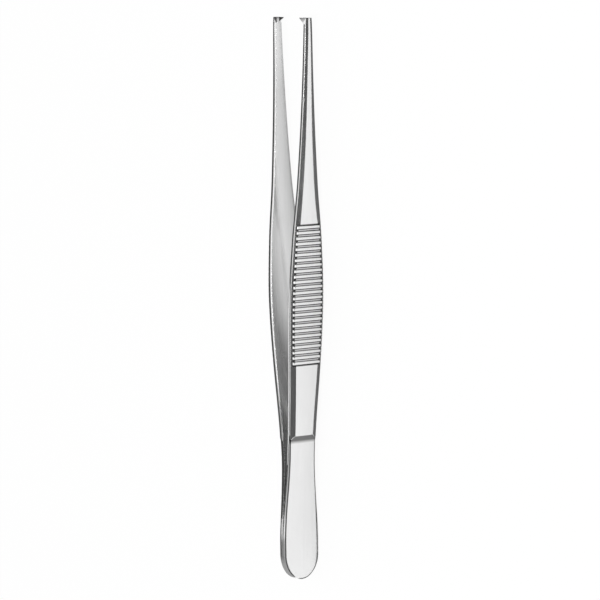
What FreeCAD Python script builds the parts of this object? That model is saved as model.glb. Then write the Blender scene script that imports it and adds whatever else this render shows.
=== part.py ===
import FreeCAD, Part
import math
import os

# Tissue forceps with one tooth opposite two, 145 mm long, all in millimetres.
# Two forged steel arms are welded face to face at the butt and spring apart towards the tips.
# The forceps lie on their side, as they come to rest: +X runs from the butt to the tips,
# the arms open along Y about the plane Y = 0, and +Z is up. Each arm is drawn on the +Y side,
# with x counted from the butt end and z from the middle of its width, and is then put in place.

# Overall sizes
LENGTH = 145.0
WELD_LENGTH = 15.7
TIP_GAP = 12.2

# Plan outline of an arm: full widths, and how far from the butt end each is reached
BUTT_WIDTH = 10.6
BUTT_END_DEPTH = 6.8
BUTT_WIDEST_TO = 9.0
WAIST_WIDTH = 8.0
WAIST_FROM_BUTT = 32.5
GRIP_WIDTH = 10.2
GRIP_FROM_BUTT = 72.0
NECK_WIDTH = 8.7
NECK_FROM_BUTT = 87.4
SHANK_WIDTH = 5.75
SHANK_FROM_BUTT = 102.9
NOSE_WIDTH = 3.3
NOSE_FROM_BUTT = 123.6
TIP_WIDTH = 2.2
TIP_LENGTH = 6.0
TIP_END_WIDTH = 1.95
EDGE_TRIM = 0.02

# Spring bow: how far the inner face stands off the middle plane
WELD_EXCESS = 0.34
LEG_OFFSET = 0.86
PALM_OFFSET = 2.5
PALM_FROM_BUTT = 55.0
GRIP_OFFSET = 3.6
SHANK_OFFSET = 4.94
NOSE_OFFSET = 5.55

# Thickness of the leg and of the forging
LEG_THICKNESS = 1.25
HEEL_THICKNESS = 1.8
GRIP_THICKNESS = 1.81
SHANK_THICKNESS = 1.52
TIP_THICKNESS = 1.5
TIP_END_THICKNESS = 1.35

# Bevels along the outer edges, and the broken inner edges
BEVEL_WIDTH = 1.38
TIP_BEVEL_WIDTH = 0.7
BEVEL_DEPTH = 0.48
TIP_BEVEL_DEPTH = 0.26
INNER_BREAK = 0.18

# Shoulder where the thick forging is ground down to the thin leg
SHOULDER_FROM_BUTT = 35.6
SHOULDER_RADIUS = 4.3

# Serrations of the thumb grip
RIDGE_COUNT = 26
RIDGE_PITCH = 1.4
RIDGE_TOP = 0.55
FIRST_RIDGE_FROM_BUTT = 56.72
RIDGE_RISE = 0.12
RIDGE_END_FROM_SIDE = 0.55
RIDGE_FOOT_FROM_SIDE = 0.15
GROOVE_DEPTH = 0.13
GROOVE_FLOOR = 0.28
GROOVE_BITE = 0.04
END_LINE = 0.22

# Teeth, the notch and recesses that they close into, and the corners ground off the tip
TOOTH_SLOPE_LENGTH = 1.4
TOOTH_POINT = 0.12
TOOTH_ROOT = 0.8
SINGLE_TOOTH_REACH = 2.3
SINGLE_TOOTH_BASE = 0.85
PAIR_TOOTH_REACH = 2.1
PAIR_TOOTH_SPACING = 1.3
NOTCH_DEPTH = 1.0
FLANK_LENGTH = 1.3
FLANK_RISE = 1.1
RECESS_LENGTH = 1.5
RECESS_CENTRE_LENGTH = 0.8
RECESS_DEPTH = 0.7
CORNER_LENGTH = 1.4
CORNER_END_WIDTH = 1.7

# Working values of the model
SECTION_STEP = 3.5
CURVE_STEP = 3.0
CLEAR = 12.0
OVERRUN = 1.0
SLOPE_STEP = 0.01
ARC_PRECISION = 1e-7

OUTLINE = [
    (0.0, BUTT_WIDTH + 2 * EDGE_TRIM),
    (BUTT_WIDEST_TO, BUTT_WIDTH + 2 * EDGE_TRIM),
    (WAIST_FROM_BUTT, WAIST_WIDTH),
    (GRIP_FROM_BUTT, GRIP_WIDTH),
    (NECK_FROM_BUTT, NECK_WIDTH),
    (SHANK_FROM_BUTT, SHANK_WIDTH),
    (NOSE_FROM_BUTT, NOSE_WIDTH),
    (LENGTH - TIP_LENGTH, TIP_WIDTH),
    (LENGTH, TIP_END_WIDTH),
]
BOW = [
    (0.0, -WELD_EXCESS),
    (WELD_LENGTH, 0.0),
    (SHOULDER_FROM_BUTT, LEG_OFFSET),
    (PALM_FROM_BUTT, PALM_OFFSET),
    (GRIP_FROM_BUTT, GRIP_OFFSET),
    (SHANK_FROM_BUTT, SHANK_OFFSET),
    (NOSE_FROM_BUTT, NOSE_OFFSET),
    (LENGTH, TIP_GAP / 2),
]
THICKNESS = [
    (0.0, HEEL_THICKNESS),
    (SHOULDER_FROM_BUTT, HEEL_THICKNESS),
    (GRIP_FROM_BUTT, GRIP_THICKNESS),
    (SHANK_FROM_BUTT, SHANK_THICKNESS),
    (LENGTH - TIP_LENGTH, TIP_THICKNESS),
    (LENGTH, TIP_END_THICKNESS),
]
BEVEL_WIDTHS = [
    (0.0, BEVEL_WIDTH),
    (SHANK_FROM_BUTT, BEVEL_WIDTH),
    (LENGTH - TIP_LENGTH, TIP_BEVEL_WIDTH),
    (LENGTH, TIP_BEVEL_WIDTH),
]
BEVEL_DEPTHS = [
    (0.0, BEVEL_DEPTH),
    (GRIP_FROM_BUTT, BEVEL_DEPTH),
    (SHANK_FROM_BUTT, TIP_BEVEL_DEPTH),
    (LENGTH, TIP_BEVEL_DEPTH),
]


def on_curve(points, x):
    """Value at x of a smooth curve through (x, value) points that never swings past them."""
    rises = [(v1 - v0) / (x1 - x0) for (x0, v0), (x1, v1) in zip(points, points[1:])]
    inner = [2 * a * b / (a + b) if a * b > 0 else 0.0 for a, b in zip(rises, rises[1:])]
    slopes = [rises[0]] + inner + [rises[-1]]
    if x <= points[0][0]:
        return points[0][1] + slopes[0] * (x - points[0][0])
    if x >= points[-1][0]:
        return points[-1][1] + slopes[-1] * (x - points[-1][0])
    i = max(k for k, (xk, _) in enumerate(points[:-1]) if xk <= x)
    (x0, v0), (x1, v1) = points[i], points[i + 1]
    span = x1 - x0
    t = (x - x0) / span
    start = v0 * (2 * t**3 - 3 * t**2 + 1) + slopes[i] * span * (t**3 - 2 * t**2 + t)
    end = v1 * (3 * t**2 - 2 * t**3) + slopes[i + 1] * span * (t**3 - t**2)
    return start + end


def inner_line(x):
    return on_curve(BOW, x)


def outer_line(x):
    """Outer face of the finished forging, beyond the shoulder."""
    return inner_line(x) + on_curve(THICKNESS, x)


def leg_line(x):
    """Outer face of the leg: flat over the weld, then a leg's thickness off the inner face."""
    shoulder = SHOULDER_FROM_BUTT
    middle = (WELD_LENGTH + shoulder) / 2
    points = [
        (0.0, LEG_THICKNESS),
        (WELD_LENGTH, LEG_THICKNESS),
        (middle, inner_line(middle) + LEG_THICKNESS),
        (shoulder, inner_line(shoulder) + LEG_THICKNESS),
    ]
    return on_curve(points, x)


def slope_of(line, x):
    return (line(x + SLOPE_STEP) - line(x - SLOPE_STEP)) / (2 * SLOPE_STEP)


def spread(start, end, step):
    """Evenly spaced values from start to end, about a step apart."""
    count = max(2, math.ceil((end - start) / step))
    return [start + (end - start) * k / count for k in range(count + 1)]


def curve_edge(line, start, end):
    """Edge in the plane z = 0 that follows y = line(x)."""
    points = [FreeCAD.Vector(x, line(x), 0) for x in spread(start, end, CURVE_STEP)]
    curve = Part.BSplineCurve()
    curve.interpolate(points)
    return curve.toShape()


def polygon_edges(points):
    corners = [FreeCAD.Vector(x, y, 0) for x, y in points]
    return [Part.makeLine(a, b) for a, b in zip(corners, corners[1:])]


def across_width(edges):
    """Prism that runs across the whole width of the arm, from a closed outline in x and y."""
    face = Part.Face(Part.Wire(edges))
    face.translate(FreeCAD.Vector(0, 0, -CLEAR))
    return face.extrude(FreeCAD.Vector(0, 0, 2 * CLEAR))


def through_thickness(points):
    """Prism that runs right through the arm along y, from corners in x and z."""
    corners = [FreeCAD.Vector(x, -CLEAR, z) for x, z in points]
    face = Part.Face(Part.makePolygon(corners + corners[:1]))
    return face.extrude(FreeCAD.Vector(0, 2 * CLEAR, 0))


def section(x):
    """Cross-section of the forging: flat inner face, square sides and bevelled outer edges."""
    inner = inner_line(x)
    outer = outer_line(x)
    half = on_curve(OUTLINE, x) / 2
    side = [
        (inner, half - INNER_BREAK),
        (inner + INNER_BREAK, half),
        (outer - on_curve(BEVEL_DEPTHS, x), half),
        (outer, half - on_curve(BEVEL_WIDTHS, x)),
    ]
    return both_sides(x, side)


def grip_section(x):
    """Cross-section of the raised metal that the thumb grip is cut in, rooted in the forging."""
    outer = outer_line(x)
    half = on_curve(OUTLINE, x) / 2
    foot = half - RIDGE_FOOT_FROM_SIDE
    depth = on_curve(BEVEL_DEPTHS, x)
    side = [
        (outer - 2 * depth, foot),
        (outer - depth, foot),
        (outer + RIDGE_RISE, half - RIDGE_END_FROM_SIDE),
    ]
    return both_sides(x, side)


def both_sides(x, side):
    """Closed section at x from the corners of its +z side, mirrored to the other."""
    loop = side + [(y, -z) for y, z in reversed(side)]
    corners = [FreeCAD.Vector(x, y, z) for y, z in loop]
    return Part.makePolygon(corners + corners[:1])


def loft(section_at, start, end):
    return Part.makeLoft([section_at(x) for x in spread(start, end, SECTION_STEP)], True, False)


def butt_outline():
    """Round end and straight sides that the butt is trimmed to, clear of the rest of the arm."""
    half = BUTT_WIDTH / 2
    ellipse = Part.Ellipse(
        FreeCAD.Vector(0, -CLEAR, 0),
        FreeCAD.Vector(BUTT_END_DEPTH, -CLEAR, half),
        FreeCAD.Vector(BUTT_END_DEPTH, -CLEAR, 0),
    )
    rim = ellipse.toShape(0, 2 * math.pi)
    cap = Part.Face(Part.Wire(rim)).extrude(FreeCAD.Vector(0, 2 * CLEAR, 0))
    body = through_thickness([
        (BUTT_END_DEPTH, -half),
        (WELD_LENGTH, -half),
        (WELD_LENGTH, -CLEAR),
        (LENGTH + CLEAR, -CLEAR),
        (LENGTH + CLEAR, CLEAR),
        (WELD_LENGTH, CLEAR),
        (WELD_LENGTH, half),
        (BUTT_END_DEPTH, half),
    ])
    return cap.fuse(body)


def shoulder_arc():
    """Hollow left by the grinding wheel: tangent to the leg, up to the face of the forging."""
    foot_x = SHOULDER_FROM_BUTT
    foot_y = leg_line(foot_x)
    lean = math.atan(slope_of(leg_line, foot_x))

    def at(turn):
        x = foot_x + SHOULDER_RADIUS * (math.sin(lean + turn) - math.sin(lean))
        y = foot_y + SHOULDER_RADIUS * (math.cos(lean) - math.cos(lean + turn))
        return FreeCAD.Vector(x, y, 0)

    low, high = 0.0, math.pi / 2
    while high - low > ARC_PRECISION:
        turn = (low + high) / 2
        point = at(turn)
        if point.y < outer_line(point.x):
            low = turn
        else:
            high = turn
    return Part.Arc(at(0.0), at(low / 2), at(low)).toShape(), at(low)


def ridge_place(number):
    return FIRST_RIDGE_FROM_BUTT + number * RIDGE_PITCH


def wall_run():
    """Length along the arm of one sloping side of a groove."""
    return (RIDGE_PITCH - RIDGE_TOP - GROOVE_FLOOR) / 2


def end_line_places():
    """Bottoms of the lines that set the grip off from the smooth faces."""
    off_ridge = RIDGE_TOP / 2 + wall_run()
    return ridge_place(0) - off_ridge, ridge_place(RIDGE_COUNT - 1) + off_ridge


def over_leg():
    """Metal ground off outside the leg, up to the shoulder."""
    arc, top = shoulder_arc()
    leg = curve_edge(leg_line, -OVERRUN, SHOULDER_FROM_BUTT)
    closing = polygon_edges([
        (top.x, top.y),
        (top.x, CLEAR),
        (-OVERRUN, CLEAR),
        (-OVERRUN, leg_line(-OVERRUN)),
    ])
    return across_width([leg, arc] + closing)


def groove(x, left_run, right_run, floor):
    """One groove across the grip, square to the face there. Its sides slope out each way,
    and its floor is level over the face and falls along the bevels at both ends."""
    depth = on_curve(BEVEL_DEPTHS, x)
    bevel = on_curve(BEVEL_WIDTHS, x)
    half_floor = floor / 2
    top = RIDGE_RISE + depth
    tall = (GROOVE_DEPTH + top) / (GROOVE_DEPTH + RIDGE_RISE)
    points = [(-half_floor, -GROOVE_DEPTH)]
    if floor:
        points.append((half_floor, -GROOVE_DEPTH))
    points += [
        (half_floor + tall * right_run, top),
        (-half_floor - tall * left_run, top),
    ]
    outline = polygon_edges(points + points[:1])
    fall_start = (GROOVE_DEPTH - GROOVE_BITE) * bevel / depth
    end_of_face = on_curve(OUTLINE, x) / 2 - bevel + fall_start
    pieces = [across_width(outline)]
    for side in (1, -1):
        end = Part.Face(Part.Wire(outline))
        end.translate(FreeCAD.Vector(0, 0, side * end_of_face))
        pieces.append(end.extrude(FreeCAD.Vector(0, -depth, side * bevel)))
    lean = math.degrees(math.atan(slope_of(outer_line, x)))
    for piece in pieces:
        piece.rotate(FreeCAD.Vector(0, 0, 0), FreeCAD.Vector(0, 0, 1), lean)
        piece.translate(FreeCAD.Vector(x, outer_line(x), 0))
    return pieces


def grooves():
    side = wall_run()
    first, last = end_line_places()
    cutters = groove(first, END_LINE, side, 0.0) + groove(last, side, END_LINE, 0.0)
    for k in range(RIDGE_COUNT - 1):
        cutters += groove(ridge_place(k) + RIDGE_PITCH / 2, side, side, GROOVE_FLOOR)
    return cutters


def tooth_side(reach):
    """Side of a tooth: square with the tip end, its back sloping down to the inner face."""
    face = inner_line(LENGTH)
    back = face - reach
    run = TOOTH_SLOPE_LENGTH * (reach + TOOTH_ROOT) / reach
    points = [
        (LENGTH - run, face + TOOTH_ROOT),
        (LENGTH - TOOTH_POINT, back),
        (LENGTH, back),
        (LENGTH, face + TOOTH_ROOT),
        (LENGTH - run, face + TOOTH_ROOT),
    ]
    return across_width(polygon_edges(points))


def seen_from_end(points, start, run):
    """Prism from corners given as (height over the inner face, z), drawn at x = start."""
    corners = [FreeCAD.Vector(start, inner_line(LENGTH) - height, z) for height, z in points]
    outline = Part.Face(Part.makePolygon(corners + corners[:1]))
    return outline.extrude(run)


def tooth_wedge(points):
    """Tooth tapering to its point as seen from the end of the tip."""
    start = LENGTH - TIP_LENGTH
    return seen_from_end(points, start, FreeCAD.Vector(LENGTH + OVERRUN - start, 0, 0))


def single_tooth():
    half_base = SINGLE_TOOTH_BASE / 2
    half_point = TOOTH_POINT / 2
    wedge = tooth_wedge([
        (-TOOTH_ROOT, -half_base),
        (0.0, -half_base),
        (SINGLE_TOOTH_REACH, -half_point),
        (SINGLE_TOOTH_REACH, half_point),
        (0.0, half_base),
        (-TOOTH_ROOT, half_base),
    ])
    return tooth_side(SINGLE_TOOTH_REACH).common(wedge)


def tooth_block():
    """The pair of teeth before the notch is cut between them."""
    half_width = TIP_END_WIDTH / 2
    half_top = (PAIR_TOOTH_SPACING + TOOTH_POINT) / 2
    wedge = tooth_wedge([
        (-TOOTH_ROOT, -half_width),
        (0.0, -half_width),
        (PAIR_TOOTH_REACH, -half_top),
        (PAIR_TOOTH_REACH, half_top),
        (0.0, half_width),
        (-TOOTH_ROOT, half_width),
    ])
    return tooth_side(PAIR_TOOTH_REACH).common(wedge)


def notch():
    """V between the two teeth, cut deeper towards the end of the tip for the single tooth."""
    half_top = (PAIR_TOOTH_SPACING - TOOTH_POINT) / 2
    steepness = half_top / (PAIR_TOOTH_REACH + NOTCH_DEPTH)
    over = PAIR_TOOTH_REACH + OVERRUN
    half_over = steepness * over
    rise = NOTCH_DEPTH / TOOTH_SLOPE_LENGTH
    run = TOOTH_SLOPE_LENGTH + OVERRUN
    outline = [(0.0, 0.0), (over, half_over), (over, -half_over)]
    start = LENGTH - TOOTH_SLOPE_LENGTH
    return seen_from_end(outline, start, FreeCAD.Vector(run, rise * run, 0))


def beyond_plane(a, b, c):
    """Block on one side of the plane through three points, the side that a, b, c turn about."""
    normal = (b - a).cross(c - a)
    middle = (a + b + c) / 3
    return Part.makeCylinder(CLEAR / 2, CLEAR / 2, middle, normal)


def flanks():
    """Ground from the sides of the tip up to the points of the two outer teeth."""
    face = inner_line(LENGTH)
    blocks = []
    for side in (1, -1):
        foot = FreeCAD.Vector(LENGTH - FLANK_LENGTH, face, side * TIP_END_WIDTH / 2)
        top = FreeCAD.Vector(LENGTH, face + FLANK_RISE, side * CORNER_END_WIDTH / 2)
        point = FreeCAD.Vector(LENGTH, face - PAIR_TOOTH_REACH, side * PAIR_TOOTH_SPACING / 2)
        blocks.append(beyond_plane(foot, point, top) if side > 0 else beyond_plane(foot, top, point))
    return blocks


def recesses():
    """Hollows on both sides of the single tooth that the two outer teeth close into."""
    face = inner_line(LENGTH)
    blocks = []
    for side in (1, -1):
        half = side * TIP_END_WIDTH / 2
        foot = FreeCAD.Vector(LENGTH - RECESS_LENGTH, face, half)
        middle = FreeCAD.Vector(LENGTH - RECESS_CENTRE_LENGTH, face, 0)
        end = FreeCAD.Vector(LENGTH, face + RECESS_DEPTH, half)
        blocks.append(beyond_plane(foot, middle, end) if side > 0 else beyond_plane(foot, end, middle))
    return blocks


def ground_corners():
    """Corners ground off both sides of the tip, so that it narrows towards its end."""
    start = LENGTH - CORNER_LENGTH
    narrowing = (TIP_END_WIDTH - CORNER_END_WIDTH) / 2 / CORNER_LENGTH
    end_half = CORNER_END_WIDTH / 2 - narrowing * OVERRUN
    start_half = TIP_END_WIDTH / 2 + narrowing * OVERRUN
    return [
        through_thickness([
            (start - OVERRUN, side * start_half),
            (LENGTH + OVERRUN, side * end_half),
            (LENGTH + OVERRUN, side * CLEAR),
            (start - OVERRUN, side * CLEAR),
        ])
        for side in (1, -1)
    ]


def weld_side():
    """Everything past the middle plane, ground off so that the butts meet face to face."""
    size = LENGTH + 2 * CLEAR
    return Part.makeBox(size, CLEAR, 2 * CLEAR, FreeCAD.Vector(-CLEAR, -CLEAR, -CLEAR))


def blank():
    """An arm on the +Y side, finished but for its teeth."""
    shape = loft(section, 0.0, LENGTH).common(butt_outline())
    shape = shape.fuse(loft(grip_section, *end_line_places()))
    return shape.cut([over_leg()] + grooves() + [weld_side()])


def arm_with_one_tooth():
    shape = blank().cut(recesses()).fuse(single_tooth())
    return shape.cut(ground_corners()).removeSplitter()


def arm_with_two_teeth():
    shape = blank().fuse(tooth_block())
    return shape.cut([notch()] + flanks() + ground_corners()).removeSplitter()


def in_place(shape):
    """Moves an arm from its own butt end to the frame, resting on the butt's edge."""
    shape.translate(FreeCAD.Vector(-LENGTH / 2, 0, BUTT_WIDTH / 2))
    return shape


def write(name, shape):
    solid = shape.Solids[0]
    solid.exportStep("parts/" + name + ".step")
    box = solid.optimalBoundingBox(False)
    print(name, len(shape.Solids), "solid, valid", solid.isValid(), "volume %.1f" % solid.Volume)
    print("  x %.2f %.2f  y %.2f %.2f  z %.2f %.2f" % (
        box.XMin, box.XMax, box.YMin, box.YMax, box.ZMin, box.ZMax))


def main():
    os.makedirs("parts", exist_ok=True)
    write("one_tooth_arm", in_place(arm_with_one_tooth()))
    mirrored = arm_with_two_teeth().mirror(FreeCAD.Vector(0, 0, 0), FreeCAD.Vector(0, 1, 0))
    write("two_tooth_arm", in_place(mirrored))


main()
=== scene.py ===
import math

import bmesh
import bpy
from mathutils import Matrix, Vector


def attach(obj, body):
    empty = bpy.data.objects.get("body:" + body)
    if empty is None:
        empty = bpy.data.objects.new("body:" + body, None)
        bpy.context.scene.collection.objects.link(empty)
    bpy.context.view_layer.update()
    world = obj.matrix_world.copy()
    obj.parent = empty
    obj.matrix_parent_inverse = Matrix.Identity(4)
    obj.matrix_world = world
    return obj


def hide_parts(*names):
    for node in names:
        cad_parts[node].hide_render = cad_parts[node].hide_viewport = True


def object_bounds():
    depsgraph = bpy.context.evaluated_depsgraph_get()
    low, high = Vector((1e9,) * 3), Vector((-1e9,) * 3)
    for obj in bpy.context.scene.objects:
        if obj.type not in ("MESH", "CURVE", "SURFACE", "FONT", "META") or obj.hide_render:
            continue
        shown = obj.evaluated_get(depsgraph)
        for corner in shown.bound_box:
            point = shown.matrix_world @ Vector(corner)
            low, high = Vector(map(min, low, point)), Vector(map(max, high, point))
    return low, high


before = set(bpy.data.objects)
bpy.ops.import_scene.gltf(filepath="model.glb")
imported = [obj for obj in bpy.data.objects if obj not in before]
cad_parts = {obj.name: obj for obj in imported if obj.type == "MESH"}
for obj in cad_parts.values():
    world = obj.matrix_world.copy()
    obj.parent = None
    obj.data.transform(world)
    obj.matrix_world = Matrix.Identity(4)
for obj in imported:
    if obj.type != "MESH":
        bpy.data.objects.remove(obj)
cad_low, cad_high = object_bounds()

# Arm blanks
# Each arm is one steel forging: a thin spring leg, a serrated grip and a slender shank.
# It is milled and ground to shape, and its long edges are softened on a polishing wheel.
# Sizes are in millimetres: heights over the middle plane, places counted from the butt end.

MM = 0.001
LENGTH = (cad_high.x - cad_low.x) / MM
BUTT_WIDTH = (cad_high.z - cad_low.z) / MM
BUTT_END_DEPTH = 6.8
OUTLINE = [(0.0, 10.64), (9.0, 10.64), (32.5, 8.0), (72.0, 10.2), (87.4, 8.7), (102.9, 5.75),
           (123.6, 3.3), (139.0, 2.2), (LENGTH, 1.95)]
BOW = [(0.0, -0.34), (15.7, 0.0), (35.6, 0.86), (55.0, 2.5), (72.0, 3.6), (102.9, 4.94),
       (123.6, 5.55), (LENGTH, 6.1)]
THICKNESS = [(0.0, 1.8), (35.6, 1.8), (72.0, 1.81), (102.9, 1.52), (139.0, 1.5), (LENGTH, 1.35)]
BEVEL_WIDTH = [(0.0, 1.38), (102.9, 1.38), (139.0, 0.7), (LENGTH, 0.7)]
BEVEL_DEPTH = [(0.0, 0.48), (72.0, 0.48), (102.9, 0.26), (LENGTH, 0.26)]
LEG_THICKNESS = 1.25
SHOULDER = 35.6
SHOULDER_RADIUS = 4.3
LEG_EDGE = 0.36
LEG_EDGE_SLOPE = 0.5
FAR_BREAK = [(0.0, 0.1), (36.0, 0.1), (46.0, 0.25), (60.0, 0.45), (LENGTH, 0.45)]
NEAR_BREAK = [(0.0, 0.15), (33.0, 0.3), (38.0, 0.65), (72.0, 0.65), (92.0, 0.55), (139.0, 0.7),
              (LENGTH, 0.7)]
BREAK_SLOPE = 0.22
SEAM_DEPTH = 0.18
INNER_LAND = 0.15
SIDE_CROWN = 0.02
FACE_CROWN = 0.03
EDGE_ROUND = 0.04
POLISHED_EDGE = 0.05
POLISHED_TOP = 0.02
SHARP_ANGLE = 28


def on_curve(points, x):
    """Value at x of a smooth curve through (x, value) points that never swings past them."""
    rises = [(v1 - v0) / (x1 - x0) for (x0, v0), (x1, v1) in zip(points, points[1:])]
    inner = [2 * a * b / (a + b) if a * b > 0 else 0.0 for a, b in zip(rises, rises[1:])]
    slopes = [rises[0]] + inner + [rises[-1]]
    i = max(k for k, (xk, _) in enumerate(points[:-1]) if xk <= x or k == 0)
    (x0, v0), (x1, v1) = points[i], points[i + 1]
    span = x1 - x0
    t = (x - x0) / span
    start = v0 * (2 * t**3 - 3 * t**2 + 1) + slopes[i] * span * (t**3 - 2 * t**2 + t)
    return start + v1 * (3 * t**2 - 2 * t**3) + slopes[i + 1] * span * (t**3 - t**2)


def inner_line(x):
    return on_curve(BOW, x)


def leg_line(x):
    """Outer face of the spring leg, flat over the weld."""
    weld = BOW[1][0]
    points = [(0.0, LEG_THICKNESS)]
    points += [(p, inner_line(p) + LEG_THICKNESS) for p in (weld, (weld + SHOULDER) / 2, SHOULDER)]
    return on_curve(points, x)


def ground_level(x):
    """Height down to which the outside is ground: the leg, then the hollow of the shoulder."""
    if x <= SHOULDER:
        return leg_line(x)
    lean = (leg_line(SHOULDER) - leg_line(SHOULDER - POLISHED_EDGE)) / POLISHED_EDGE
    past = (x - SHOULDER) / SHOULDER_RADIUS
    hollow = 1 - math.sqrt(1 - min(past, 1.0) ** 2)
    return leg_line(SHOULDER) + lean * (x - SHOULDER) + SHOULDER_RADIUS * hollow


def softer_low(a, b, edge):
    """The lower of two heights, with the crease between them softened."""
    near = max(edge - abs(a - b), 0.0) / edge
    return min(a, b) - near * near * edge / 4


# Thumb grip
# Raised metal across each arm, cut into flat-topped ridges. The grooves fall along the bevels,
# so that the ridges end in rounded noses, and a wider cut sets the grip off from the smooth face.
RIDGES = 26
RIDGE_PITCH = 1.4
RIDGE_TOP = 0.55
FIRST_RIDGE = 56.72
RIDGE_RISE = 0.12
RIDGE_END = 0.7
RIDGE_FOOT = 0.42
GROOVE_DEPTH = 0.13
GROOVE_FLOOR = 0.28
GROOVE_BITE = 0.04
# Painted shade: shares of the dark steel colour in the grooves, the shoulder hollow and on the tips' end
# faces.
GROOVE_FLOOR_SHADE = 0.45
END_LINE = 0.22
GROOVE_SHADE_EDGE = 5
SHOULDER_FADE = 0.9
END_SHADE = 0.9
LEG_CLEAR = 0.7
FACE_CLEAR = 0.06
WALL_RUN = (RIDGE_PITCH - RIDGE_TOP - GROOVE_FLOOR) / 2
GRIP_START = FIRST_RIDGE - RIDGE_TOP / 2 - WALL_RUN
LAST_RIDGE = FIRST_RIDGE + (RIDGES - 1) * RIDGE_PITCH
GRIP_END = LAST_RIDGE + RIDGE_TOP / 2 + WALL_RUN


def groove_side(x):
    """Height of the groove's sloping side over its floor at x."""
    wall = GROOVE_DEPTH + RIDGE_RISE
    if x < FIRST_RIDGE or x > LAST_RIDGE:
        past = x - GRIP_START if x < FIRST_RIDGE else GRIP_END - x
        return past * wall / WALL_RUN if past > 0 else -past * wall / END_LINE
    from_ridge = (x - FIRST_RIDGE + RIDGE_PITCH / 2) % RIDGE_PITCH - RIDGE_PITCH / 2
    from_groove = RIDGE_PITCH / 2 - abs(from_ridge)
    return max(0.0, from_groove - GROOVE_FLOOR / 2) * wall / WALL_RUN


def outer_heights(x, half, distances):
    """Heights of the outer surface at x, at given distances in from the side."""
    face = inner_line(max(x, BOW[1][0])) + on_curve(THICKNESS, x)
    depth = on_curve(BEVEL_DEPTH, x)
    bevel = on_curve(BEVEL_WIDTH, x)
    ground = ground_level(x)
    side = groove_side(x)
    heights = []
    for s in distances:
        level = -FACE_CROWN * (1 - s / half) ** 2
        slant = depth * (s / bevel - 1)
        metal = softer_low(level, slant, POLISHED_EDGE)
        if GRIP_START - RIDGE_PITCH < x < GRIP_END + RIDGE_PITCH:
            floor = softer_low(level - GROOVE_DEPTH, slant - GROOVE_BITE, POLISHED_TOP)
            if GRIP_START < x < GRIP_END:
                steep = (RIDGE_RISE + depth) / (RIDGE_END - RIDGE_FOOT)
                nose = steep * (s - RIDGE_FOOT) - depth
                ridge = softer_low(level + RIDGE_RISE, nose, POLISHED_TOP)
                metal = -softer_low(-metal, -ridge, POLISHED_TOP)
            metal = softer_low(metal, floor + side, POLISHED_TOP)
        metal -= EDGE_ROUND * (1 - math.sqrt(1 - max(1 - s / EDGE_ROUND, 0.0) ** 2))
        leg = softer_low(ground + level, ground + (s - LEG_EDGE) * LEG_EDGE_SLOPE, POLISHED_TOP)
        heights.append(softer_low(face + metal, leg, POLISHED_TOP))
    return heights


def corner(before, at, after, cut, steps=3):
    """Points of a softened corner, cut back along both its sides."""
    reach = [min(cut, (p - at).length * 0.45) for p in (before, after)]
    start = at + (before - at).normalized() * reach[0]
    end = at + (after - at).normalized() * reach[1]
    return [start.lerp(at, k / steps).lerp(at.lerp(end, k / steps), k / steps) for k in range(steps + 1)]


# Distances in from the side, on a full bevel, at which the outer surface is drawn
COLUMNS = [0.012, 0.04, 0.08, 0.13, 0.18, 0.23, 0.3, 0.38, 0.44, 0.48, 0.51, 0.55, 0.6, 0.64, 0.67,
           0.7, 0.73, 0.78, 0.86, 0.98, 1.08, 1.16, 1.24, 1.31, 1.38, 1.45, 1.53, 1.64, 1.78]
TO_CENTRE = [0.0, 0.35, 0.7, 1.0]


def half_ring(x, half, breaks):
    """Section from the centre of the inner face round one side to the centre of the outer face.
    Each point is (height, distance in from the side, share of the rest of the way to the centre)."""
    inner = inner_line(x)
    low = max(0.0, inner)
    open_share = max(0.0, min(1.0, 1 + inner / SEAM_DEPTH))
    broken = on_curve(breaks, x) * open_share
    scale = on_curve(BEVEL_WIDTH, x) / BEVEL_WIDTH[0][1]
    distances = [0.0] + [s * scale for s in COLUMNS]
    heights = outer_heights(x, half, distances)
    last = distances[-1]
    middle = outer_heights(x, half, [last + (half - last) * share for share in TO_CENTRE[1:]])

    seam_crown = SIDE_CROWN * open_share
    under = Vector((low, seam_crown + broken * BREAK_SLOPE))
    guard = Vector((low, under.y + INNER_LAND))
    edge = Vector((low + broken, seam_crown))
    top = Vector((heights[0], SIDE_CROWN))
    waist = Vector(((edge.x + top.x) / 2, 0.0))
    over = Vector((heights[1], distances[1]))
    low_wall = Vector(((edge.x + waist.x) / 2, seam_crown / 4))
    high_wall = Vector(((top.x + waist.x) / 2, SIDE_CROWN / 4))
    cut = POLISHED_EDGE
    points = [guard] + corner(guard, under, edge, cut) + corner(under, edge, low_wall, cut)
    points += [low_wall, waist, high_wall] + corner(high_wall, top, over, cut)
    points += [Vector(p) for p in zip(heights[1:], distances[1:])]
    ring = [(low, guard.y, share) for share in reversed(TO_CENTRE[1:])]
    ring += [(p.x, p.y, 0.0) for p in points]
    ring += [(height, last, share) for height, share in zip(middle, TO_CENTRE[1:])]
    return ring


def full_ring(half_section, rim, inward, centre):
    """Section mirrored to both sides. rim, inward and centre are (x, z) in the arm's plan."""
    points = []
    for height, s, share in half_section:
        place = (rim + inward * s).lerp(centre, share)
        points.append(Vector((place.x, height, place.y)))
    back = [Vector((p.x, p.y, -p.z)) for p in reversed(points[1:-1])]
    return points + back


def straight_ring(x, breaks):
    half = min(on_curve(OUTLINE, x), BUTT_WIDTH) / 2
    return full_ring(half_ring(x, half, breaks), Vector((x, half)), Vector((0, -1)), Vector((x, 0)))


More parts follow.
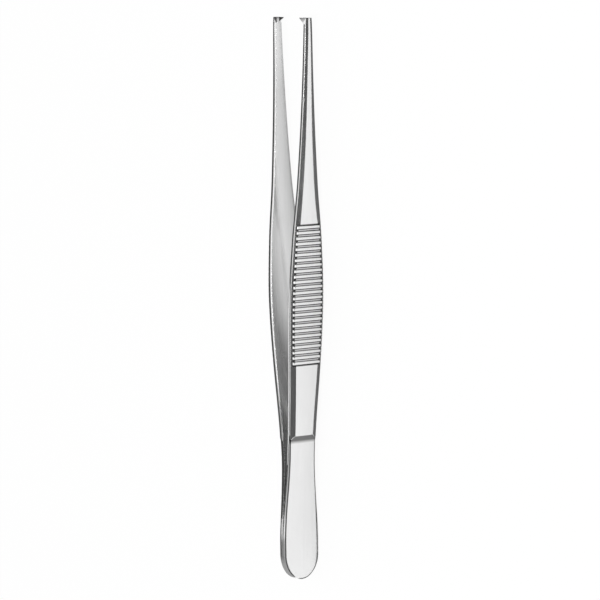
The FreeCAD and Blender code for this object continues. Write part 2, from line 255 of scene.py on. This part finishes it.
def butt_ring(angle, breaks):
    """Section of the round end, square to its rim."""
    half = BUTT_WIDTH / 2
    along = 1 - math.cos(angle)
    rim = Vector((BUTT_END_DEPTH * along, half * math.sin(angle)))
    inward = Vector((math.cos(angle) / BUTT_END_DEPTH, -math.sin(angle) / half)).normalized()
    core = half / 2
    centre = Vector((core + (BUTT_END_DEPTH - core) * along, 0))
    return full_ring(half_ring(rim.x, half, breaks), rim, inward, centre)


def spread(start, end, step):
    count = max(1, round((end - start) / step))
    return [start + (end - start) * k / count for k in range(count)]


SHOULDER_END = SHOULDER + SHOULDER_RADIUS * 0.55
TIP_START = OUTLINE[-2][0]
RIDGE_ROWS = [0.0, 0.16, 0.24, 0.27, 0.3, 0.36, 0.45, 0.52, 0.56, 0.6]
LINE_ROWS = [0.02, 0.05, 0.08, 0.1, 0.13, 0.18, 0.3]
grip_rows = []
for k in range(RIDGES):
    ridge = FIRST_RIDGE + k * RIDGE_PITCH
    before = RIDGE_ROWS[:9] if k == 0 else RIDGE_ROWS + [RIDGE_PITCH / 2]
    after = RIDGE_ROWS[1:9] if k == RIDGES - 1 else RIDGE_ROWS[1:]
    grip_rows += [ridge - d for d in reversed(before)] + [ridge + d for d in after]
grip_rows = [GRIP_START - d for d in reversed(LINE_ROWS)] + grip_rows + [GRIP_END + d for d in LINE_ROWS]
BUTT_ANGLES = [0, 3, 7, 12, 17, 22, 27, 32, 37, 42, 47, 52, 57, 62, 67, 72, 77, 81, 85, 88]
body_rows = spread(BUTT_END_DEPTH, SHOULDER - 0.3, 0.6) + spread(SHOULDER - 0.3, SHOULDER_END, 0.05)
body_rows += spread(SHOULDER_END, grip_rows[0], 0.6) + grip_rows[:-1]
body_rows += spread(grip_rows[-1], TIP_START, 0.6) + [TIP_START]
tip_rows = spread(TIP_START, LENGTH, 0.25) + [LENGTH]


def skin(sections, caps=False):
    """Mesh through the sections, closed at both ends if asked."""
    bm = bmesh.new()
    rows = [[bm.verts.new(p) for p in points] for points in sections]
    for a, b in zip(rows, rows[1:]):
        for i in range(len(a)):
            bm.faces.new((a[i - 1], a[i], b[i], b[i - 1]))
    if caps:
        bm.faces.new(rows[0])
        bm.faces.new(rows[-1][::-1])
    bmesh.ops.remove_doubles(bm, verts=bm.verts, dist=1e-4)
    bmesh.ops.recalc_face_normals(bm, faces=bm.faces)
    return bm


def prism(corners, run):
    """Closed prism from the corners of one end and the way to the other."""
    bm = bmesh.new()
    start = [bm.verts.new(p) for p in corners]
    end = [bm.verts.new(p + run) for p in corners]
    bm.faces.new(start)
    bm.faces.new(end)
    for i in range(len(corners)):
        bm.faces.new((start[i - 1], start[i], end[i], end[i - 1]))
    bmesh.ops.recalc_face_normals(bm, faces=bm.faces)
    return bm


def grind(bm, a, b, c):
    """Takes off what lies on the far side of the plane through three points."""
    geometry = bm.verts[:] + bm.edges[:] + bm.faces[:]
    normal = (b - a).cross(c - a)
    bmesh.ops.bisect_plane(
        bm, geom=geometry, plane_co=a, plane_no=normal, clear_outer=True, dist=1e-5)
    bmesh.ops.edgeloop_fill(bm, edges=[e for e in bm.edges if e.is_boundary])
    bmesh.ops.recalc_face_normals(bm, faces=bm.faces)


def to_mesh(bm, name):
    mesh = bpy.data.meshes.new(name)
    bm.to_mesh(mesh)
    bm.free()
    return mesh


def painted_shade(x, height, across):
    """How much painted shade darkens the steel's colour here: in the grooves, in the shoulder hollow and
    on the tips' end faces.
    """
    half = min(on_curve(OUTLINE, x), BUTT_WIDTH) / 2
    face = inner_line(x) + on_curve(THICKNESS, x)
    if x > LENGTH - 0.01:
        return END_SHADE
    if height < inner_line(x) + LEG_THICKNESS * LEG_CLEAR or x < SHOULDER:
        return 0.0
    if x < SHOULDER_END:
        metal = min(0.0, on_curve(BEVEL_DEPTH, x) * ((half - across) / on_curve(BEVEL_WIDTH, x) - 1))
        return min(1.0, (x - SHOULDER) / SHOULDER_FADE) if height < face + metal - FACE_CLEAR else 0.0
    if not GRIP_START - END_LINE < x < GRIP_END + END_LINE or across > half - RIDGE_FOOT:
        return 0.0
    share = groove_side(x) / (GROOVE_DEPTH + RIDGE_RISE)
    return GROOVE_FLOOR_SHADE if share < 0.02 else max(0.0, min(1.0, (1 - share) * GROOVE_SHADE_EDGE))


def combine(body, tool, operation):
    """Body with the tool united to it or cut out of it."""
    parts = []
    for name, bm in (("tool", tool), ("body", body)):
        o = bpy.data.objects.new(name, to_mesh(bm, name))
        bpy.context.collection.objects.link(o)
        parts.append(o)
    change = parts[1].modifiers.new("change", "BOOLEAN")
    change.operation = operation
    change.solver = "EXACT"
    change.object = parts[0]
    bpy.context.view_layer.update()
    result = bmesh.new()
    result.from_object(parts[1], bpy.context.evaluated_depsgraph_get())
    for o in parts:
        bpy.data.meshes.remove(o.data)
    return result


# Teeth
# One tooth on the far arm closes between two on the near arm. All three are filed to points,
# the pair from a block with a notch cut in it, and the corners of both tips are ground back.
TOOTH_SLOPE_LENGTH = 1.4
TOOTH_POINT = 0.12
TOOTH_ROOT = 0.8
SINGLE_TOOTH_REACH = 2.3
SINGLE_TOOTH_BASE = 0.85
PAIR_TOOTH_REACH = 2.1
PAIR_TOOTH_SPACING = 1.3
NOTCH_DEPTH = 1.0
FLANK_LENGTH = 1.3
FLANK_RISE = 1.1
RECESS_LENGTH = 1.5
RECESS_CENTRE_LENGTH = 0.8
RECESS_DEPTH = 0.7
CORNER_LENGTH = 1.4
CORNER_END_WIDTH = 1.7
FACE = inner_line(LENGTH)
TIP_HALF = OUTLINE[-1][1] / 2
OVERRUN = 1.0


def tooth(reach, half_base, half_point):
    """Square with the tip's end, its back sloping down to the inner face and its sides tapering."""
    run = TOOTH_SLOPE_LENGTH * (reach + TOOTH_ROOT) / reach
    outline = [(LENGTH - run, FACE + TOOTH_ROOT), (LENGTH - TOOTH_POINT, FACE - reach),
               (LENGTH, FACE - reach), (LENGTH, FACE + TOOTH_ROOT)]
    wide = half_base + OVERRUN
    bm = prism([Vector((x, y, -wide)) for x, y in outline], Vector((0, 0, 2 * wide)))
    for side in (1, -1):
        base = Vector((LENGTH, FACE, side * half_base))
        along = base - Vector((side, 0, 0))
        point = Vector((LENGTH, FACE - reach, side * half_point))
        grind(bm, base, base + Vector((0, 1, 0)), along)
        grind(bm, base, along, point)
    return bm


def grind_corners(bm):
    for side in (1, -1):
        start = Vector((LENGTH - CORNER_LENGTH, FACE, side * TIP_HALF))
        end = Vector((LENGTH, FACE, side * CORNER_END_WIDTH / 2))
        grind(bm, start, end, start + Vector((0, side, 0)))


def single_tooth_tip():
    bm = skin([straight_ring(x, FAR_BREAK) for x in tip_rows], caps=True)
    for side in (1, -1):
        foot = Vector((LENGTH - RECESS_LENGTH, FACE, side * TIP_HALF))
        middle = Vector((LENGTH - RECESS_CENTRE_LENGTH, FACE, 0))
        end = Vector((LENGTH, FACE + RECESS_DEPTH, side * TIP_HALF))
        grind(bm, foot, *((middle, end) if side > 0 else (end, middle)))
    bm = combine(bm, tooth(SINGLE_TOOTH_REACH, SINGLE_TOOTH_BASE / 2, TOOTH_POINT / 2), "UNION")
    grind_corners(bm)
    return bm


def paired_tooth_tip():
    bm = skin([straight_ring(x, NEAR_BREAK) for x in tip_rows], caps=True)
    half_points = (PAIR_TOOTH_SPACING + TOOTH_POINT) / 2
    bm = combine(bm, tooth(PAIR_TOOTH_REACH, TIP_HALF, half_points), "UNION")
    over = PAIR_TOOTH_REACH + OVERRUN
    half_over = (PAIR_TOOTH_SPACING - TOOTH_POINT) / 2 * over / (PAIR_TOOTH_REACH + NOTCH_DEPTH)
    start = LENGTH - TOOTH_SLOPE_LENGTH
    notch = ((0, 0), (over, half_over), (over, -half_over))
    corners = [Vector((start, FACE - height, z)) for height, z in notch]
    run = TOOTH_SLOPE_LENGTH + OVERRUN
    cutter = prism(corners, Vector((run, NOTCH_DEPTH / TOOTH_SLOPE_LENGTH * run, 0)))
    bm = combine(bm, cutter, "DIFFERENCE")
    for side in (1, -1):
        foot = Vector((LENGTH - FLANK_LENGTH, FACE, side * TIP_HALF))
        top = Vector((LENGTH, FACE + FLANK_RISE, side * CORNER_END_WIDTH / 2))
        point = Vector((LENGTH, FACE - PAIR_TOOTH_REACH, side * PAIR_TOOTH_SPACING / 2))
        grind(bm, foot, *((point, top) if side > 0 else (top, point)))
    grind_corners(bm)
    return bm


def finished_arm(name, tip, breaks, side):
    """Joins a tip to the rest of the arm and puts it in place, on one side of the middle plane."""
    cap = [f for f in tip.faces if all(v.co.x < TIP_START + 1e-3 for v in f.verts)]
    bmesh.ops.delete(tip, geom=cap, context="FACES")
    rings = [butt_ring(math.radians(a), breaks) for a in BUTT_ANGLES]
    bm = skin(rings + [straight_ring(x, breaks) for x in body_rows])
    bm.from_mesh(to_mesh(tip, name + "_tip"))
    bmesh.ops.remove_doubles(bm, verts=bm.verts, dist=1e-3)
    # Painted shade for the steel's colour, stored on each point.
    shade_paint_mask = bm.verts.layers.float.new("painted_shade")
    for v in bm.verts:
        v[shade_paint_mask] = painted_shade(v.co.x, v.co.y, abs(v.co.z))
        v.co = Vector((v.co.x - LENGTH / 2, side * v.co.y, v.co.z + BUTT_WIDTH / 2)) * MM
    bmesh.ops.recalc_face_normals(bm, faces=bm.faces)
    mesh = to_mesh(bm, name)
    mesh.shade_smooth()
    mesh.set_sharp_from_angle(angle=math.radians(SHARP_ANGLE))
    o = bpy.data.objects.new(name, mesh)
    bpy.context.collection.objects.link(o)
    return o


arms = [finished_arm("arm_one_tooth", single_tooth_tip(), FAR_BREAK, 1),
        finished_arm("arm_two_teeth", paired_tooth_tip(), NEAR_BREAK, -1)]
for arm, node in zip(arms, ("one_tooth_arm", "two_tooth_arm")):
    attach(arm, "root")
    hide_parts(node)

# Steel
# Stainless steel, ground lengthways and then polished bright. A faint satin grain is left along
# the arm and the tone drifts a little. Painted shade darkens its colour in the grooves, in the shoulder
# hollow and on the tips' end faces.
STEEL_DARK = 0.84
STEEL_LIGHT = 0.92
GRAIN_FINE = 5800
GRAIN_COARSE = 1900
GRAIN_STRETCH = 0.04
GRAIN_MIX = 0.5
DRIFT = 70
DRIFT_SHARE = (0.7, 1.0)
MOTTLE_SHARE = (0.5, 1.0)
NOISE_RANGE = (0.35, 0.65)
SATIN = (0.11, 0.21)
SHADE_PAINT_TONE = 0.2

steel = bpy.data.materials.new("polished_steel")
steel.use_nodes = True
nodes, links = steel.node_tree.nodes, steel.node_tree.links
shader = nodes["Principled BSDF"]
shader.inputs["Metallic"].default_value = 1.0
where = nodes.new("ShaderNodeTexCoord")
stretched = nodes.new("ShaderNodeMapping")
stretched.inputs["Scale"].default_value = (GRAIN_STRETCH, 1, 1)
links.new(where.outputs["Object"], stretched.inputs["Vector"])


def cloud(scale, detail, vector):
    noise = nodes.new("ShaderNodeTexNoise")
    noise.inputs["Scale"].default_value = scale
    noise.inputs["Detail"].default_value = detail
    links.new(vector, noise.inputs["Vector"])
    return noise.outputs["Fac"]


def spread_over(value, low, high):
    """The middle of a noise's range spread between two values."""
    span = nodes.new("ShaderNodeMapRange")
    span.inputs["From Min"].default_value = NOISE_RANGE[0]
    span.inputs["From Max"].default_value = NOISE_RANGE[1]
    span.inputs["To Min"].default_value = low
    span.inputs["To Max"].default_value = high
    links.new(value, span.inputs["Value"])
    return span.outputs["Result"]


fine = cloud(GRAIN_FINE, 1, stretched.outputs[0])
coarse = cloud(GRAIN_COARSE, 3, stretched.outputs[0])
drift = cloud(DRIFT, 2, where.outputs["Object"])
grain = nodes.new("ShaderNodeMath")
grain.operation = "MULTIPLY_ADD"
grain.inputs[1].default_value = GRAIN_MIX
links.new(fine, grain.inputs[0])
rest_of_grain = nodes.new("ShaderNodeMath")
rest_of_grain.operation = "MULTIPLY"
rest_of_grain.inputs[1].default_value = 1 - GRAIN_MIX
links.new(coarse, rest_of_grain.inputs[0])
links.new(rest_of_grain.outputs[0], grain.inputs[2])
links.new(spread_over(grain.outputs[0], *SATIN), shader.inputs["Roughness"])
tone = nodes.new("ShaderNodeMix")
tone.data_type = "RGBA"
tone.inputs["A"].default_value = (STEEL_DARK, STEEL_DARK, STEEL_DARK, 1)
tone.inputs["B"].default_value = (STEEL_LIGHT, STEEL_LIGHT, STEEL_LIGHT, 1)
mottle = nodes.new("ShaderNodeMath")
mottle.operation = "MULTIPLY"
links.new(spread_over(drift, *DRIFT_SHARE), mottle.inputs[0])
links.new(spread_over(coarse, *MOTTLE_SHARE), mottle.inputs[1])
links.new(mottle.outputs[0], tone.inputs["Factor"])
# Painted shade: darker steel colour in the grooves, the shoulder hollow and on the tips' end faces.
shade_paint_mask = nodes.new("ShaderNodeAttribute")
shade_paint_mask.attribute_name = "painted_shade"
shade_paint_mix = nodes.new("ShaderNodeMix")
shade_paint_mix.data_type = "RGBA"
shade_paint_mix.inputs["B"].default_value = (SHADE_PAINT_TONE, SHADE_PAINT_TONE, SHADE_PAINT_TONE, 1)
links.new(tone.outputs["Result"], shade_paint_mix.inputs["A"])
links.new(shade_paint_mask.outputs["Fac"], shade_paint_mix.inputs["Factor"])
links.new(shade_paint_mix.outputs["Result"], shader.inputs["Base Color"])
for arm in arms:
    arm.data.materials.append(steel)

# Floor
# A sheet of white card. The camera sees it nearly as bright as paper can be, with a faint shadow,
# and the steel reflects it as it is lit.
FLOOR_SPAN = 3.0
FLOOR_SHADE = 0.8
WHITENING = 0.92

bpy.ops.mesh.primitive_plane_add(size=FLOOR_SPAN)
floor = bpy.context.object
floor.name = "floor"
paper = bpy.data.materials.new("white_card")
paper.use_nodes = True
nodes, links = paper.node_tree.nodes, paper.node_tree.links
nodes.clear()
matt = nodes.new("ShaderNodeBsdfDiffuse")
matt.inputs["Color"].default_value = (FLOOR_SHADE, FLOOR_SHADE, FLOOR_SHADE, 1)
glow = nodes.new("ShaderNodeEmission")
ray = nodes.new("ShaderNodeLightPath")
share = nodes.new("ShaderNodeMath")
share.operation = "MULTIPLY"
share.inputs[1].default_value = WHITENING
mix = nodes.new("ShaderNodeMixShader")
out = nodes.new("ShaderNodeOutputMaterial")
links.new(ray.outputs["Is Camera Ray"], share.inputs[0])
links.new(share.outputs[0], mix.inputs[0])
links.new(matt.outputs[0], mix.inputs[1])
links.new(glow.outputs[0], mix.inputs[2])
links.new(mix.outputs[0], out.inputs["Surface"])
floor.data.materials.append(paper)

# Light
# Daylight from all round and one soft lamp in front and above. Black and grey cards stand round
# the forceps as in a tabletop studio, and strips lie under them, to draw the edges of the steel.
# They glow at set shades and show only in reflections: the cards are painted reflections, and the strips
# and sheets under and between the arms are painted shade of the floor and of the gaps.
LAMP_ANGLE = 50
LAMP_DISTANCE = 0.9
LAMP_SIZE = 0.16
LAMP_POWER = 2.4
BLACK = 0.06
DARK = 0.1
STRIP_SHADE = 0.13
CARD_FOOT = 0.4
CARD_PAST_END = 20
FAR_CARD = 600
CARD_REACH = 1200
FRONT_CARD_START = 26
FRONT_CARD_ARC = (0, 57, 4)
BACK_CARD = 20
BACK_CARD_START = 12
BACK_CARD_END = -60
BACK_SPLIT_TOP = 22.5
LEG_CARD_TOP = 90
LEG_CARD_END = 40
BACK_SPLIT = [(0, 14.2), (125, 14.2), (136, 12.3), (LENGTH, 12.3)]
# Painted reflection: the grey card's glow along the length, which sets the tone of the near arm's side
# wall.
SIDE_TONES = [(0, 0.4), (5, 0.42), (9, 0.95), (13, 0.95), (17, 0.55), (37, 0.47), (41, 0.47),
              (46, 0.33), (52, 0.2), (74, 0.2), (84, 0.5), (94, 0.52), (103, 0.44),
              (113, 0.37), (124, 0.5), (132, 0.57), (142, 1.0), (LENGTH, 1.0)]
LOW_TONES = [(-20, 0.4), (-6, 0.35), (4, BLACK), (LENGTH, BLACK)]
RIM_TONES = [(30, 0.95), (72, 1.0), (80, 0.05), (LENGTH, 0.05)]
# Painted shade between the legs and under the gap between the arms, as glow shares along the length.
LEG_GAP_TONES = [(17, 0.01), (24, 0.03), (30, 0.09), (39, 0.1)]
GAP_TONES = [(30, 0.1), (41, 0.15), (52, 0.26), (62, 0.5), (72, 0.75), (85, 0.84), (94, 0.8),
             (124, 0.8), (138, 1.0), (LENGTH, 1.0)]
OPEN_START = 30
GAP_FADE = 0.5
GAP_MARGIN = 0.3
LEG_GAP_MARGIN = 0.02
LEG_GAP_DEPTH = 2.2
RIM_MARGIN = 0.05
RIM_LIFT = 0.03
RIM_RISE = 0.9
STEEPNESS = 1.41
LEG_GAP = (17, 39)
FAR_LEG = (16, 36)
FAR_LEG_MARGIN = 0.15
FAR_LEG_RISE = 1.0
STRIP_LIFT = 0.3
STRIP_UNDER = 0.4
LEG_STRIP_REACH = 0.5
LEG_STRIP_SHARE = 0.7
LEG_STRIP_ROOM = 2.0
BUTT_STRIP = (3.6, 8, 2)
BUTT_STRIP_START = -14
BUTT_STRIP_TURN = 2
BUTT_STRIP_TAPER = 3
FAR_STRIP = (0.45, 0.2)
STRIP_SHARE = [(0, 0.35), (90, 0.35), (97, 0.8), (LENGTH, 0.8)]

world = bpy.data.worlds.new("studio")
bpy.context.scene.world = world
world.use_nodes = True
sky = world.node_tree.nodes["Background"]
sky.inputs["Color"].default_value = (1, 1, 1, 1)
sky.inputs["Strength"].default_value = 1.0


def round_about(angle, distance):
    """Place beside the forceps, by the angle from the front of them up over their length."""
    a = math.radians(angle)
    return Vector((0, -distance * math.cos(a), distance * math.sin(a)))


lamp = bpy.data.lights.new("soft_lamp", "AREA")
lamp.size = LAMP_SIZE
lamp.energy = LAMP_POWER
lamp_object = bpy.data.objects.new("soft_lamp", lamp)
lamp_object.location = round_about(LAMP_ANGLE, LAMP_DISTANCE)
lamp_object.rotation_euler = lamp_object.location.to_track_quat("Z", "Y").to_euler()
bpy.context.collection.objects.link(lamp_object)


def card(name, tones, shape, start, end, step=4):
    """Glowing card along the forceps that shows only in reflections, for painted reflections and painted
    shade. tones are (place, shade) stops, shape gives its (y, z) points at x.
    """
    mesh = bpy.data.meshes.new(name)
    bm = bmesh.new()
    shade = bm.verts.layers.float.new("shade")
    rows = []
    for x in spread(start, end, step) + [end]:
        row = []
        for y, z, *fade in shape(x):
            v = bm.verts.new(Vector((x - LENGTH / 2, y, z)) * MM)
            v[shade] = on_curve(tones, min(max(x, tones[0][0]), tones[-1][0])) * (fade[0] if fade else 1)
            row.append(v)
        rows.append(row)
    for a, b in zip(rows, rows[1:]):
        for i in range(1, len(a)):
            bm.faces.new((a[i - 1], a[i], b[i], b[i - 1]))
    bm.to_mesh(mesh)
    bm.free()
    paint = bpy.data.materials.new(name)
    paint.use_nodes = True
    nodes, links = paint.node_tree.nodes, paint.node_tree.links
    nodes.clear()
    shade = nodes.new("ShaderNodeAttribute")
    shade.attribute_name = "shade"
    glow = nodes.new("ShaderNodeEmission")
    out = nodes.new("ShaderNodeOutputMaterial")
    links.new(shade.outputs["Fac"], glow.inputs["Color"])
    links.new(glow.outputs[0], out.inputs["Surface"])
    mesh.materials.append(paint)
    o = bpy.data.objects.new(name, mesh)
    bpy.context.collection.objects.link(o)
    for kind in ("visible_camera", "visible_diffuse", "visible_shadow", "visible_transmission"):
        setattr(o, kind, False)


def flat(shade):
    return [(0, shade), (LENGTH, shade)]


def on_arm(x):
    return min(max(x, 0.0), LENGTH)


def top_edge(x):
    return (BUTT_WIDTH + on_curve(OUTLINE, on_arm(x))) / 2


def front_card(x):
    arc = [round_about(a, FAR_CARD) for a in range(*FRONT_CARD_ARC)]
    return [(-FRONT_CARD_START, CARD_FOOT), (-FAR_CARD, CARD_FOOT)] + [(p.y, p.z) for p in arc]


def back_split(x):
    return top_edge(x) + on_curve(BACK_SPLIT, on_arm(x))


def low_back_card(x):
    return [(BACK_CARD_START, CARD_FOOT), (BACK_CARD, CARD_FOOT), (BACK_CARD, back_split(x))]


def high_back_card(x):
    return [(BACK_CARD, back_split(x)), (BACK_CARD, top_edge(x) + BACK_SPLIT_TOP)]


def leg_back_card(x):
    return [(BACK_CARD, top_edge(x) + BACK_SPLIT_TOP), (BACK_CARD, top_edge(x) + LEG_CARD_TOP)]


def far_leg_shade_card(x):
    """Painted shade: a black sheet along the far leg, seen only in reflections, that keeps the grey card
    out of its side.
    """
    side = inner_line(x) + LEG_THICKNESS + FAR_LEG_MARGIN
    top = top_edge(x) + FAR_LEG_RISE + STEEPNESS * inner_line(x)
    return [(side, top_edge(x) - RIM_MARGIN), (side, top)]


def rim_glow_card(x):
    """Glowing sheet along the far arm's inner edge, seen only in reflections: a painted highlight as far
    as the grip and painted shade from there to the tips.
    """
    side = inner_line(x) - RIM_MARGIN
    return [(side, top_edge(x) + RIM_LIFT), (side, top_edge(x) + RIM_RISE * inner_line(x))]


def gap_shade_card(x):
    """Painted shade of the floor under the gap between the arms: a glowing sheet there, seen only in
    reflections, that shows in the far arm's inner face.
    """
    half = inner_line(x) - GAP_MARGIN
    return [(-half, STRIP_LIFT), (half, STRIP_LIFT, GAP_FADE)]


def leg_gap_shade_card(x):
    """Painted shade: a dark sheet bridging the narrow gap between the legs, a little below their upper
    edges, seen only in reflections.
    """
    half = inner_line(x) - LEG_GAP_MARGIN
    depth = LEG_GAP_DEPTH * half
    return [(-half, top_edge(x) - depth), (half, top_edge(x) - depth)]


def near_shade_strip(x):
    """Painted shade: a dark strip under the near arm's outer edge, seen only in reflections in place of
    the floor's shadow there; it widens where the edge stands higher.
    """
    room = (BUTT_WIDTH - on_curve(OUTLINE, x)) / 2
    if x < BUTT_END_DEPTH:
        room = min(LEG_STRIP_ROOM, BUTT_WIDTH / 2 * (1 - math.sqrt(1 - (1 - x / BUTT_END_DEPTH) ** 2)))
    if x < SHOULDER:
        front = leg_line(x)
        reach = LEG_STRIP_REACH + LEG_STRIP_SHARE * room
    else:
        front = inner_line(x) + on_curve(THICKNESS, x)
        reach = on_curve(STRIP_SHARE, x) * (room + on_curve(BEVEL_WIDTH, x))
    return [(-front - reach, STRIP_LIFT), (STRIP_UNDER - front, STRIP_LIFT)]


def butt_shade_strip(x):
    """Painted shade: a dark strip past the butt's end, seen only in reflections; it narrows towards the
    end to keep out of the leg's face.
    """
    near, wide, under = BUTT_STRIP
    wider = min(max(-(x + BUTT_STRIP_TURN) / BUTT_STRIP_TAPER, 0), 1)
    return [(-near - (wide - near) * wider, STRIP_LIFT), (under, STRIP_LIFT)]


def far_shade_strip(x):
    """Painted shade: a dark strip on the floor between the arms, seen only in reflections, that draws
    the lower edge of the far arm's inner face.
    """
    foot = inner_line(x) - STEEPNESS * (BUTT_WIDTH - on_curve(OUTLINE, x)) / 2
    return [(foot - FAR_STRIP[0], STRIP_LIFT), (foot + FAR_STRIP[1], STRIP_LIFT)]


card("black_card_front", flat(DARK), front_card, -CARD_REACH, CARD_REACH, CARD_REACH)
card("black_card_back", LOW_TONES, low_back_card, BACK_CARD_END, LENGTH + CARD_PAST_END)
card("black_card_leg", flat(BLACK), leg_back_card, BACK_CARD_END, LEG_CARD_END)
card("grey_card_back", SIDE_TONES, high_back_card, BACK_CARD_END, LENGTH + CARD_PAST_END, 2)
card("rim_glow_card", RIM_TONES, rim_glow_card, OPEN_START, LENGTH)
card("gap_shade_card", GAP_TONES, gap_shade_card, OPEN_START, LENGTH)
card("far_leg_shade_card", flat(BLACK), far_leg_shade_card, *FAR_LEG)
card("leg_gap_shade_card", LEG_GAP_TONES, leg_gap_shade_card, *LEG_GAP)
card("near_shade_strip", flat(STRIP_SHADE), near_shade_strip, 0, LENGTH, 2)
card("butt_shade_strip", flat(DARK), butt_shade_strip, BUTT_STRIP_START, 0, 1)
card("far_shade_strip", flat(STRIP_SHADE), far_shade_strip, OPEN_START, LENGTH)

# Camera
# A long lens just under a metre away. It looks down on the forceps from the side of the arm
# with two teeth, a little towards the butt.
CAMERA_ANGLE = 35.28
CAMERA_LIFT = 6.1
CAMERA_ROLL = 0.758
CAMERA_DISTANCE = 950 * MM
LENS = 221.8
AIM_RIGHT = 1.01 * MM
AIM_UP = 0.03 * MM

turn, lift, roll = map(math.radians, (CAMERA_ANGLE, CAMERA_LIFT, CAMERA_ROLL))
back = Vector((math.sin(lift), -math.cos(lift) * math.cos(turn), math.cos(lift) * math.sin(turn)))
level = Vector((0, -math.sin(turn), -math.cos(turn)))
upright = back.cross(level)
right = level * math.cos(roll) - upright * math.sin(roll)
up = level * math.sin(roll) + upright * math.cos(roll)
centre = Vector((0, 0, cad_high.z / 2)) + right * AIM_RIGHT + up * AIM_UP
place = centre + back * CAMERA_DISTANCE
lens = bpy.data.cameras.new("camera")
lens.lens = LENS
lens.clip_start = 0.01
camera = bpy.data.objects.new("camera", lens)
bpy.context.collection.objects.link(camera)
axes = Matrix((right, up, back)).transposed().to_4x4()
camera.matrix_world = Matrix.Translation(place) @ axes
bpy.context.scene.camera = camera
bpy.context.scene.view_settings.view_transform = "Standard"
